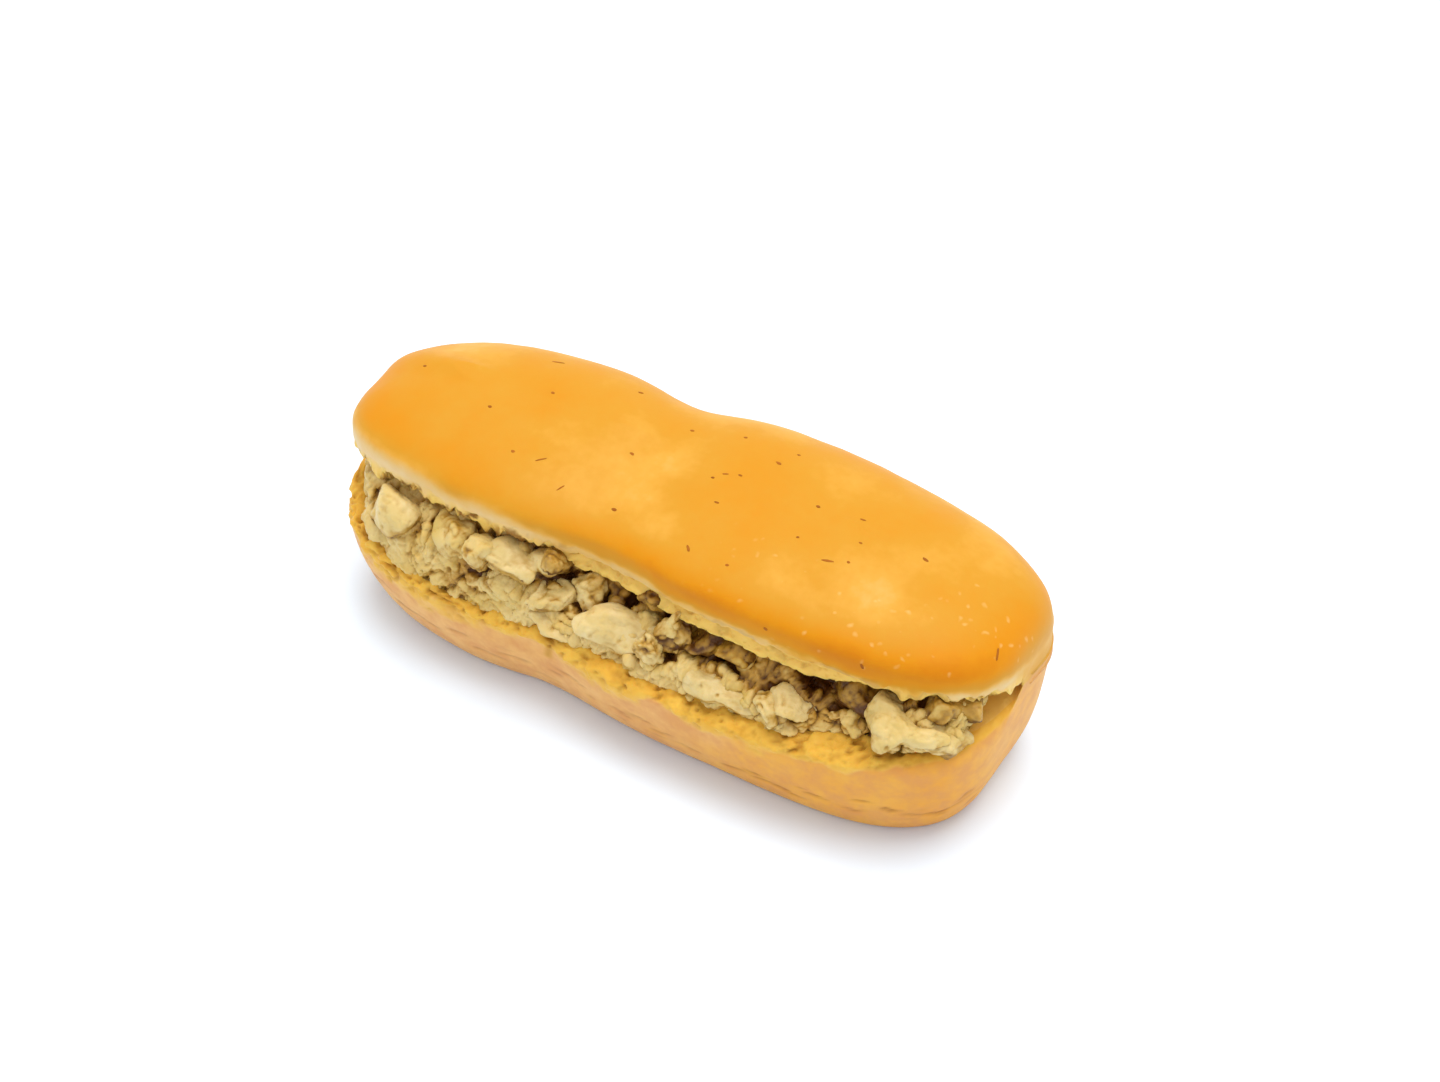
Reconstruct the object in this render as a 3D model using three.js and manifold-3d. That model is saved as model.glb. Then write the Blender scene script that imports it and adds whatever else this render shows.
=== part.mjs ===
// A soft finger roll, slit from the front and both ends, opened on its uncut back and filled with chopped
// chicken in a thick dressing. Millimetres, +X along the roll, +Y to the uncut back, +Z up, base on z = 0.
import * as THREE from "three";
import { mergeVertices } from "three/addons/utils/BufferGeometryUtils.js";
import Module from "manifold-3d";

const wasm = await Module();
wasm.setup();

// Plan of the roll: a long rounded rectangle with a waist, wider in the heel than in the crown.
const HALF_LENGTH = 80;
const PLAN_POWER = 3.2;
const ROUND_IN = 0.45;
const WAIST_WIDTH = 15;
const HEEL_FRONT = { reach: 40.7, waist: 0.07, waistX: -21, lobe: 0.04 };
const CROWN_FRONT = { reach: 32.9, waist: 0.1, waistX: -9, lobe: 0.03 };
const HEEL_BACK = { reach: 28.8, waist: 0.14, waistX: -13, lobe: 0.015 };
const CROWN_BACK = { reach: 27, waist: 0.14, waistX: -13, lobe: 0.015 };
const SPINE_END = 1.64;
const BOW = 4.8;

// Heights of the crown above the table.
const TOP_HEIGHT = 54;
const TOP_DIP = 2.2;
const CROWN_POWER = 2.4;
const CROWN_EDGE_HEIGHT = 33.8;
const CROWN_TILT = 0.238;
const CROWN_BAND = 5;

// Heights and the rounded foot of the heel.
const RIM_HEIGHT = 22.2;
const RIM_SLOPE = 2.1;
const RIM_RISE = 5.1;
const FOOT_INSET = 8;
const FOOT_POWER = 1.6;

// The slit: it starts at the back left corner, runs round the front and dies out at the right tip.
const SLIT_START = 146;
const SLIT_END = 364;
const SLIT_FADE = 16;
const SEAM = 2.4;
const ROOT_GAP = 0.7;
const ROOT_BOW = 8;

// How finely the roll and its filling are divided.
const COLUMNS = 72;
const SIDE_RINGS = 7;
const SHEET_RINGS = 5;
const DOME_RINGS = 6;

// The filling: a bed of dressing behind the chopped pieces, and the gap between pieces that touch.
const GAP = 0.35;
const BED_FRONT = 0.08;
const BED_ROOT = 0.8;
const LUMP_POWER = 3;

// Every visible piece of chicken: bearing round the roll, height in the mouth (0 rim, 1 crown edge), depth
// behind the mouth, then its length, depth and height, and its turn about the vertical.
const PIECES = [
  { at: 217, up: 0.5, back: 3, size: [8, 8, 8], turn: -50 },
  { at: 231, up: 0.66, back: 3.5, size: [10.5, 9, 11], turn: -10 },
  { at: 228, up: 0.24, back: 2.5, size: [6.5, 6, 4], turn: -20 },
  { at: 241, up: 0.68, back: 3.5, size: [8.5, 8, 9], turn: 15 },
  { at: 246, up: 0.66, back: 3, size: [4.5, 7, 10], turn: 0 },
  { at: 251, up: 0.66, back: 3.5, size: [9.5, 8, 8.5], turn: 20 },
  { at: 250, up: 0.28, back: 2.5, size: [8, 6, 5], turn: -15 },
  { at: 256.5, up: 0.8, back: 3, size: [4.5, 6, 4.5], turn: 10 },
  { at: 256.5, up: 0.42, back: 3, size: [6.5, 6, 5.5], turn: 30 },
  { at: 259, up: 0.14, back: 2, size: [6, 5, 2], turn: 5 },
  { at: 262, up: 0.58, back: 3.5, size: [5, 6, 6], turn: -10 },
  { at: 268, up: 0.4, back: 3, size: [12, 8, 8], turn: 8 },
  { at: 273, up: 0.78, back: 6, size: [6, 6, 5], turn: 25 },
  { at: 275, up: 0.34, back: 3.5, size: [5, 6, 5], turn: -20 },
  { at: 278, up: 0.56, back: 4, size: [4.5, 5, 5], turn: 0 },
  { at: 282.5, up: 0.55, back: 7, size: [7, 7, 6], turn: 15 },
  { at: 288.5, up: 0.28, back: 3, size: [15, 5, 3.6], turn: 4 },
  { at: 288, up: 0.6, back: 5, size: [8, 6, 4.5], turn: -12 },
  { at: 295, up: 0.24, back: 4, size: [6.5, 6, 5], turn: 20 },
  { at: 298, up: 0.5, back: 5, size: [8, 6, 5], turn: -25 },
  { at: 306, up: 0.56, back: 8, size: [10, 8, 8], turn: 12 },
  { at: 313.5, up: 0.5, back: 2.5, size: [12, 8, 8.5], turn: 18 },
  { at: 323, up: 0.3, back: 2.5, size: [7, 6, 4.5], turn: 40 },
  { at: 320.5, up: 0.8, back: 3.5, size: [5.5, 6, 5], turn: 30 },
  { at: 327, up: 0.66, back: 3.5, size: [5, 5, 4.5], turn: 45 },
];

function smooth(value) {
  const v = Math.min(1, Math.max(0, value));
  return v * v * (3 - 2 * v);
}

function mix(a, b, share) {
  return a + (b - a) * share;
}

// Half width of one side of the plan at a distance x along the roll.
function reach(side, x) {
  const waist = side.waist * Math.exp(-(((x - side.waistX) / WAIST_WIDTH) ** 2));
  return side.reach * (1 + (side.lobe * x) / HALF_LENGTH) * (1 - waist);
}

// A point of the plan at a bearing in degrees: 0 is the right tip, 90 the back, 270 the front.
function plan(bearing, front, back) {
  const angle = (bearing * Math.PI) / 180;
  const c = Math.cos(angle);
  const s = Math.sin(angle);
  const radius = (Math.abs(c) ** PLAN_POWER + Math.abs(s) ** PLAN_POWER) ** (-1 / PLAN_POWER);
  const x = HALF_LENGTH * c * radius;
  const y = s * radius * reach(s < 0 ? front : back, x);
  return { x, y, ridgeX: HALF_LENGTH * (1 - ROUND_IN) * c, spine: spineAt(x) };
}

// The roll's centre line bows slightly to the back.
function spineAt(x) {
  return SPINE_END + BOW * (1 - (x / HALF_LENGTH) ** 2);
}

// 1 where the roll is slit, 0 along its uncut back.
function opening(bearing) {
  let turn = ((bearing % 360) + 360) % 360;
  if (turn < SLIT_START) {
    turn += 360;
  }
  return smooth((turn - SLIT_START) / SLIT_FADE) * smooth((SLIT_END - turn) / SLIT_FADE);
}

// Lower edge of the crown. Along the uncut back it swells out to meet the heel.
function crownEdge(bearing) {
  const p = plan(bearing, CROWN_FRONT, CROWN_BACK);
  const behind = smooth(2 * Math.sin((bearing * Math.PI) / 180));
  const swell = ((1 - opening(bearing)) * behind * (HEEL_BACK.reach - CROWN_BACK.reach)) / CROWN_BACK.reach;
  return new THREE.Vector3(p.x, p.y * (1 + swell) + p.spine, CROWN_EDGE_HEIGHT - CROWN_TILT * p.y);
}

// Upper rim of the heel.
function heelRim(bearing) {
  const p = plan(bearing, HEEL_FRONT, HEEL_BACK);
  const q = p.x / HALF_LENGTH;
  const slit = RIM_HEIGHT + RIM_SLOPE * q + RIM_RISE * q * q;
  const whole = crownEdge(bearing).z - SEAM;
  return new THREE.Vector3(p.x, p.y + p.spine, mix(whole, slit, opening(bearing)));
}

// Where the slit ends inside the bread: a line from one end of the slit to the other.
function slitRoot(bearing) {
  const start = heelRim(SLIT_START);
  const end = heelRim(SLIT_END);
  const rim = heelRim(bearing);
  const open = opening(bearing);
  let turn = ((bearing % 360) + 360) % 360;
  if (turn < SLIT_START) {
    turn += 360;
  }
  const round = Math.min(1, Math.max(0, (turn - SLIT_START) / (SLIT_END - SLIT_START)));
  const along = Math.min(1, Math.max(0, (rim.x - start.x) / (end.x - start.x)));
  const share = 0.2 * round + 0.8 * along;
  const x = mix(start.x, end.x, share);
  const y = mix(start.y, end.y, share) + ROOT_BOW * 4 * share * (1 - share);
  const root = new THREE.Vector3(mix(rim.x, x, smooth(open)), mix(rim.y, y, smooth(open)), 0);
  const tilted = CROWN_EDGE_HEIGHT - CROWN_TILT * (root.y - spineAt(root.x));
  root.z = mix(crownEdge(bearing).z - SEAM / 2, tilted, smooth(open));
  return root;
}

// A point on the cut face of the heel (side -1) or of the crown (side 1), from its edge to the slit's root.
function cutFace(bearing, share, side, lift) {
  const edge = side < 0 ? heelRim(bearing) : crownEdge(bearing);
  const root = slitRoot(bearing);
  root.z += (side * ROOT_GAP) / 2;
  const point = edge.lerp(root, share);
  point.z += lift;
  return point;
}

// One column of the roll's skin: base, side of the heel, both cut faces, side and top of the crown.
function rollColumn(bearing) {
  const points = [];
  const heel = plan(bearing, HEEL_FRONT, HEEL_BACK);
  const rim = heelRim(bearing);
  points.push(new THREE.Vector3(heel.ridgeX, heel.spine, 0));
  for (let k = 0; k <= SIDE_RINGS; k++) {
    const height = (k / SIDE_RINGS) ** 1.8;
    const tuck = 1 - (1 - (1 - height) ** FOOT_POWER) ** (1 / FOOT_POWER);
    const inset = (FOOT_INSET * tuck) / HEEL_FRONT.reach;
    const x = heel.x * (1 - inset * ROUND_IN);
    points.push(new THREE.Vector3(x, heel.y * (1 - inset) + heel.spine, rim.z * height));
  }
  for (let k = 1; k <= SHEET_RINGS; k++) {
    points.push(cutFace(bearing, k / SHEET_RINGS, -1, 0));
  }
  for (let k = SHEET_RINGS; k >= 0; k--) {
    points.push(cutFace(bearing, k / SHEET_RINGS, 1, 0));
  }
  const crown = plan(bearing, CROWN_FRONT, CROWN_BACK);
  const dip = TOP_DIP * Math.exp(-(((crown.x - HEEL_BACK.waistX) / WAIST_WIDTH) ** 2));
  const low = crownEdge(bearing).z + CROWN_BAND;
  for (let k = 0; k < DOME_RINGS; k++) {
    const angle = (k / DOME_RINGS) * (Math.PI / 2);
    const inset = 1 - Math.cos(angle) ** (2 / CROWN_POWER);
    const rise = Math.sin(angle) ** (2 / CROWN_POWER);
    const x = crown.x * (1 - inset * ROUND_IN);
    points.push(new THREE.Vector3(x, crown.y * (1 - inset) + crown.spine, mix(low, TOP_HEIGHT - dip, rise)));
  }
  points.push(new THREE.Vector3(crown.ridgeX, crown.spine, TOP_HEIGHT - dip));
  return points;
}

// Triangles over a grid of points; the columns close on themselves when wrap is true.
function gridGeometry(columns, wrap, loop) {
  const count = columns.length;
  const rings = columns[0].length;
  const index = [];
  for (let i = 0; i < (wrap ? count : count - 1); i++) {
    for (let j = 0; j < (loop ? rings : rings - 1); j++) {
      const a = i * rings + j;
      const b = ((i + 1) % count) * rings + j;
      const c = ((i + 1) % count) * rings + ((j + 1) % rings);
      const d = i * rings + ((j + 1) % rings);
      index.push(a, b, c, a, c, d);
    }
  }
  if (!wrap) {
    for (let j = 1; j < rings - 1; j++) {
      index.push(0, j, j + 1);
      index.push((count - 1) * rings, (count - 1) * rings + j + 1, (count - 1) * rings + j);
    }
  }
  const positions = columns.flat().flatMap((point) => point.toArray());
  const geometry = new THREE.BufferGeometry();
  geometry.setAttribute("position", new THREE.Float32BufferAttribute(positions, 3));
  geometry.setIndex(index);
  return mergeVertices(geometry, 1e-3);
}

// A closed manifold solid from a geometry, and the way back.
function solidOf(geometry) {
  const bare = geometry.clone();
  bare.deleteAttribute("normal");
  bare.deleteAttribute("uv");
  const merged = mergeVertices(bare, 1e-3);
  const vertProperties = new Float32Array(merged.attributes.position.array);
  const triVerts = new Uint32Array(merged.index.array);
  return new wasm.Manifold(new wasm.Mesh({ numProp: 3, vertProperties, triVerts }));
}

function geometryOf(solid) {
  const mesh = solid.getMesh();
  const geometry = new THREE.BufferGeometry();
  geometry.setAttribute("position", new THREE.Float32BufferAttribute(mesh.vertProperties, 3));
  geometry.setIndex(Array.from(mesh.triVerts));
  return geometry;
}

// The largest body of a solid, so that a trimmed piece never carries loose slivers.
function mainBody(solid) {
  const bodies = solid.decompose();
  bodies.sort((a, b) => b.volume() - a.volume());
  return bodies[0];
}

// Space inside the slit between two bearings, from one share of its depth to another.
function slitSpace(from, to, outer, inner, wave) {
  const columns = [];
  const step = 360 / COLUMNS;
  for (let bearing = from; bearing <= to; bearing += step) {
    const front = outer + wave * Math.sin(bearing * 0.37) * Math.sin(bearing * 0.113);
    const loop = [];
    for (let k = 4; k >= 0; k--) {
      loop.push(cutFace(bearing, mix(front, inner, k / 4), -1, GAP));
    }
    for (let k = 0; k <= 4; k++) {
      loop.push(cutFace(bearing, mix(front, inner, k / 4), 1, -GAP));
    }
    columns.push(loop);
  }
  return solidOf(gridGeometry(columns, false, true));
}

// One chopped piece: a rounded block with uneven faces, optionally grown by a clearance.
function lumpGeometry(piece, number, grow) {
  const detail = Math.max(...piece.size) > 7.5 ? 2 : 1;
  const geometry = new THREE.IcosahedronGeometry(1, detail);
  const position = geometry.attributes.position;
  const centre = heelRim(piece.at).lerp(crownEdge(piece.at), piece.up);
  const inward = slitRoot(piece.at).sub(centre).setZ(0).normalize();
  centre.addScaledVector(inward, piece.back);
  const turn = new THREE.Matrix4().makeRotationZ((piece.turn * Math.PI) / 180);
  const lean = new THREE.Matrix4().makeRotationX(0.25 * Math.sin(number * 2.1));
  const point = new THREE.Vector3();
  for (let i = 0; i < position.count; i++) {
    point.fromBufferAttribute(position, i);
    const square = (Math.abs(point.x) ** LUMP_POWER + Math.abs(point.y) ** LUMP_POWER
      + Math.abs(point.z) ** LUMP_POWER) ** (-1 / LUMP_POWER);
    const swell = Math.sin(2.6 * point.x + number) * Math.sin(2.3 * point.y + 2 * number);
    const uneven = 1 + 0.11 * swell + 0.07 * Math.sin(4 * point.z + 3 * number);
    point.multiplyScalar(square * uneven);
    point.x *= piece.size[0] / 2 + grow;
    point.y *= piece.size[1] / 2 + grow;
    point.z *= piece.size[2] / 2 + grow;
    point.applyMatrix4(lean).applyMatrix4(turn).add(centre);
    position.setXYZ(i, point.x, point.y, point.z);
  }
  return geometry;
}

function chickenSolids() {
  const mouth = slitSpace(165, 345, -0.12, 0.6, 0);
  const grown = PIECES.map((piece, i) => solidOf(lumpGeometry(piece, i + 1, GAP)));
  return PIECES.map((piece, i) => {
    let solid = solidOf(lumpGeometry(piece, i + 1, 0)).intersect(mouth);
    for (let k = 0; k < i; k++) {
      solid = solid.subtract(grown[k]);
    }
    return mainBody(solid);
  });
}

function fillingBedSolid() {
  let bed = slitSpace(170, 345, BED_FRONT, BED_ROOT, 0.04);
  PIECES.forEach((piece, i) => {
    bed = bed.subtract(solidOf(lumpGeometry(piece, i + 1, GAP)));
  });
  return mainBody(bed);
}

function crustMaterial() {
  return new THREE.MeshStandardMaterial({ color: 0xeda03c, roughness: 0.5, metalness: 0 });
}

function dressingMaterial() {
  return new THREE.MeshStandardMaterial({ color: 0xc9ae62, roughness: 0.45, metalness: 0 });
}

function chickenMaterial() {
  return new THREE.MeshStandardMaterial({ color: 0xe8cf98, roughness: 0.5, metalness: 0 });
}

function addPiece(group, name, geometry, material) {
  const mesh = new THREE.Mesh(geometry, material);
  mesh.name = name;
  group.add(mesh);
}

// The bread is one baked piece: crown and heel stay joined along the uncut back.
function rollGeometry() {
  const columns = [];
  for (let i = 0; i < COLUMNS; i++) {
    columns.push(rollColumn((360 * i) / COLUMNS));
  }
  return gridGeometry(columns, true, false);
}

const group = new THREE.Group();
group.name = "bread_roll";
addPiece(group, "roll", rollGeometry(), crustMaterial());
addPiece(group, "filling_bed", geometryOf(fillingBedSolid()), dressingMaterial());
chickenSolids().forEach((solid, i) => {
  addPiece(group, `chicken_piece_${String(i + 1).padStart(2, "0")}`, geometryOf(solid), chickenMaterial());
});

export default group;
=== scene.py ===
import bmesh
import bpy
import numpy as np
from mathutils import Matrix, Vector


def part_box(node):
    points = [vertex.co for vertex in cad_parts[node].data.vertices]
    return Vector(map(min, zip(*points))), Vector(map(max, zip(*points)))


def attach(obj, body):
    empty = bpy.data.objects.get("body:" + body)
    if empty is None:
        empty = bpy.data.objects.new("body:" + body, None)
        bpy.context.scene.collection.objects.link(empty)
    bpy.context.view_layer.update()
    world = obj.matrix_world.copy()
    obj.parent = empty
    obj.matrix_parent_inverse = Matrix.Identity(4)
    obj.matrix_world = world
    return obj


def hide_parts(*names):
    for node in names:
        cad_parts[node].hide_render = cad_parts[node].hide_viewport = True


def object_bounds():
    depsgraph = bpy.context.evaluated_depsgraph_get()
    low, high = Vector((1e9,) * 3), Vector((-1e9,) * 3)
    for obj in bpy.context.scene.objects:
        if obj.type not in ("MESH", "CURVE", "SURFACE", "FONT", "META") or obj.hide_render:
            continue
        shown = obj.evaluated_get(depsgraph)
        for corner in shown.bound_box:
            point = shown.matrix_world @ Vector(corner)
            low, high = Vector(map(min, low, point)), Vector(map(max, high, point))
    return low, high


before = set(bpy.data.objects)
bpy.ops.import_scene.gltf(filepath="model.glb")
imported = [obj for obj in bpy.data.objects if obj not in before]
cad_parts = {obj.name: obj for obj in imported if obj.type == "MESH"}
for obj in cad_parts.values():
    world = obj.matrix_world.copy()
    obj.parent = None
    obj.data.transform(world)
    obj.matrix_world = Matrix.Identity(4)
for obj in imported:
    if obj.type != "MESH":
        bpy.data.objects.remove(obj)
cad_box = [list(corner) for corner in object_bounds()]

# ----------------------------------------------------------
# The bread. One soft roll baked in a single piece: a golden crown and a paler heel, cut open with a
# knife along its front and round its left end, and still joined along its back. The cut faces are
# open crumb, and the crumb near the heel's rim has soaked up dressing.
# ----------------------------------------------------------
# Sizes are in millimetres, and bearings in degrees from +X towards +Y.
MM = 0.001
HALF_LENGTH = 80.0
PLAN_POWER = 3.2                # how square the outline's corners are
ROUND_IN = 0.45                 # how far the ends round in towards the ridge, as a share of x
WAIST_WIDTH = 15.0
# Each side of the outline: reach, depth of the waist, its place along x, growth towards +X.
HEEL_FRONT, HEEL_BACK = (40.7, 0.07, -21.0, 0.04), (28.8, 0.14, -13.0, 0.015)
CROWN_FRONT, CROWN_BACK = (32.9, 0.10, -9.0, 0.03), (27.0, 0.14, -13.0, 0.015)
SPINE_END, BOW = 1.64, 4.8
EDGE_HEIGHT, CROWN_TILT, CROWN_BAND = 33.8, 0.238, 5.0
EDGE_TUCK, EDGE_DROP = 1.7, 1.0
TOP_HEIGHT, TOP_DIP, CROWN_POWER = 54.0, 2.2, 2.4
RIM_HEIGHT, RIM_SLOPE, RIM_RISE, RIM_CORNER = 22.2, 2.1, 5.1, 2.6
FOOT_INSET, FOOT_POWER = 8.0, 1.6
SLIT_START, SLIT_END, SLIT_FADE = 146.0, 358.0, 18.0
SEAM, ROOT_GAP, ROOT_BOW = 2.4, 0.7, 8.0
# How far the heel's rim rounds over, down its side and back along its cut face, at some bearings.
RIM_AT = (150, 205, 250, 262, 305, 322, 345, 362)
RIM_DOWN = (1.2, 2.0, 2.2, 2.2, 2.2, 4.5, 4.5, 2.0)
RIM_BACK = (1.5, 2.4, 3.0, 3.0, 3.2, 5.5, 5.5, 3.0)
COLUMNS = 296                   # points in a coarse ring; a fine one has three times as many
TWIST = np.array([[0.36, 0.48, -0.8], [-0.8, 0.6, 0.0], [0.48, 0.64, 0.6]])


def smooth(value):
    """0 below 0, 1 above 1, and an S-curve between them."""
    v = np.clip(value, 0, 1)
    return v * v * (3 - 2 * v)


def mix(a, b, share):
    return a + (b - a) * share


def noise(points, scale, seed):
    """Value noise from -1 to 1: random numbers on the corners of a cubic lattice with cells of size
    scale, blended inside each cell with an S-curve along each axis."""
    q = points / scale + seed * 17.31
    cell = np.floor(q).astype(np.int64)
    inside = q - cell
    blend = inside * inside * (3 - 2 * inside)
    total = np.zeros(len(points))
    for corner in np.ndindex(2, 2, 2):
        at = cell + np.array(corner)
        hashed = at[:, 0] * 374761393 + at[:, 1] * 668265263 + at[:, 2] * 2147483647 + seed * 974634777
        hashed = (hashed ^ (hashed >> 13)) * 1274126177 & 0x7FFFFFFF
        value = ((hashed ^ (hashed >> 16)) & 0xFFFF) / 32767.5 - 1
        weight = np.prod(np.where(np.array(corner), blend, 1 - blend), axis=1)
        total += value * weight
    return total


def rough(points, scale, seed, octaves=3):
    """Sum of value noise at ever finer scales, each half as strong as the last."""
    return sum(noise(points, scale / 2 ** k, seed + k) * 0.5 ** k for k in range(octaves))


def plan(bearing, front, back):
    """Outline of the roll at a bearing in degrees: a rounded rectangle whose half width at each x is
    the reach of that side, less a bell-shaped waist. Returns x, y and the height of the spine in y."""
    c, s = np.cos(np.radians(bearing)), np.sin(np.radians(bearing))
    radius = (np.abs(c) ** PLAN_POWER + np.abs(s) ** PLAN_POWER) ** (-1 / PLAN_POWER)
    x = HALF_LENGTH * c * radius

    def reach(side):
        waist = side[1] * np.exp(-(((x - side[2]) / WAIST_WIDTH) ** 2))
        return side[0] * (1 + side[3] * x / HALF_LENGTH) * (1 - waist)

    y = s * radius * np.where(s < 0, reach(front), reach(back))
    return x, y, SPINE_END + BOW * (1 - (x / HALF_LENGTH) ** 2)


def opening(bearing):
    """1 where the roll is slit, 0 along its uncut back, with an S-curve at each end of the slit."""
    turn = np.where(bearing % 360 < SLIT_START, bearing % 360 + 360, bearing % 360)
    return smooth((turn - SLIT_START) / SLIT_FADE) * smooth((SLIT_END - turn) / SLIT_FADE)


def crown_edge(bearing):
    """Lower edge of the crown: the crown's outline, tilted up towards the front."""
    x, y, spine = plan(bearing, CROWN_FRONT, CROWN_BACK)
    behind = (1 - opening(bearing)) * smooth(2 * np.sin(np.radians(bearing)))
    swell = 1 + behind * (HEEL_BACK[0] / CROWN_BACK[0] - 1)
    return np.stack([x, y * swell + spine, EDGE_HEIGHT - CROWN_TILT * y], -1)


def heel_rim(bearing):
    """Upper rim of the heel: low at the front, rising to both ends, a little more at the left one, and
    up to the crown at the back."""
    x, y, spine = plan(bearing, HEEL_FRONT, HEEL_BACK)
    q = x / HALF_LENGTH
    slit = RIM_HEIGHT + RIM_SLOPE * q + RIM_RISE * q * q + RIM_CORNER * smooth((214 - bearing) / 14)
    return np.stack([x, y + spine, mix(crown_edge(bearing)[..., 2] - SEAM, slit, opening(bearing))], -1)


def slit_root(bearing):
    """Where the slit ends inside: a bowed line from one end of the slit to the other."""
    start, end = heel_rim(np.array(SLIT_START)), heel_rim(np.array(SLIT_END))
    rim, edge, fade = heel_rim(bearing), crown_edge(bearing), smooth(opening(bearing))
    turn = np.where(bearing % 360 < SLIT_START, bearing % 360 + 360, bearing % 360)
    round_share = np.clip((turn - SLIT_START) / (SLIT_END - SLIT_START), 0, 1)
    along = np.clip((rim[..., 0] - start[0]) / (end[0] - start[0]), 0, 1)
    share = 0.2 * round_share + 0.8 * along
    x = mix(rim[..., 0], mix(start[0], end[0], share), fade)
    y = mix(rim[..., 1], mix(start[1], end[1], share) + ROOT_BOW * 4 * share * (1 - share), fade)
    tilted = EDGE_HEIGHT - CROWN_TILT * (y - SPINE_END - BOW * (1 - (x / HALF_LENGTH) ** 2))
    return np.stack([x, y, mix(edge[..., 2] - SEAM / 2, tilted, fade)], -1)


def cut_face(bearing, share, side):
    """A point of the heel's (side -1) or the crown's (side 1) cut face, from its edge to the root."""
    edge = heel_rim(bearing) if side < 0 else crown_edge(bearing)
    root = slit_root(bearing) + np.array([0, 0, side * ROOT_GAP / 2])
    return mix(edge, root, np.asarray(share)[..., None])


def strip(bearing):
    """1 along the middle of the crown's front, where torn crumb hangs below the crust's edge."""
    return smooth((bearing - 253) / 8) * smooth((312 - bearing) / 14)


class Lines:
    """The lines round the roll, one point for each bearing, that its rings are drawn between."""

    def __init__(self, bearing):
        self.bearing = bearing
        self.heel_x, self.heel_y, self.spine = plan(bearing, HEEL_FRONT, HEEL_BACK)
        self.crown_x, self.crown_y, _ = plan(bearing, CROWN_FRONT, CROWN_BACK)
        self.ridge_x = HALF_LENGTH * (1 - ROUND_IN) * np.cos(np.radians(bearing))
        self.rim, self.edge, self.root = heel_rim(bearing), crown_edge(bearing), slit_root(bearing)
        self.open = opening(bearing)[:, None]
        self.run = np.linalg.norm((self.root - self.rim)[:, :2], axis=1)[:, None]
        self.inward = (self.root - self.edge) * [1, 1, 0]
        self.inward /= np.linalg.norm(self.inward, axis=1)[:, None] + 1e-6
        hang = strip(bearing)[:, None]
        down = np.array([0, 0, -1])
        self.foot = self.edge + self.open * (EDGE_TUCK * self.inward + EDGE_DROP * down)
        self.gutter = self.foot + self.open * (0.9 * self.inward - 0.2 * down)
        self.lip = self.foot + self.open * (
            mix(1.3, -1.1, hang) * self.inward + mix(0.2, 2.4, hang) * down)
        self.dip = TOP_DIP * np.exp(-(((self.crown_x - HEEL_BACK[2]) / WAIST_WIDTH) ** 2))

    def heel_side(self, share):
        """The heel's side from the table, share 0, to the rim, share 1: it tucks in at the foot."""
        tuck = 1 - (1 - (1 - share) ** FOOT_POWER) ** (1 / FOOT_POWER)
        inset = FOOT_INSET * tuck / HEEL_FRONT[0]
        return np.stack([self.heel_x * (1 - inset * ROUND_IN), self.heel_y * (1 - inset) + self.spine,
                         self.rim[:, 2] * share], -1)


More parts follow.
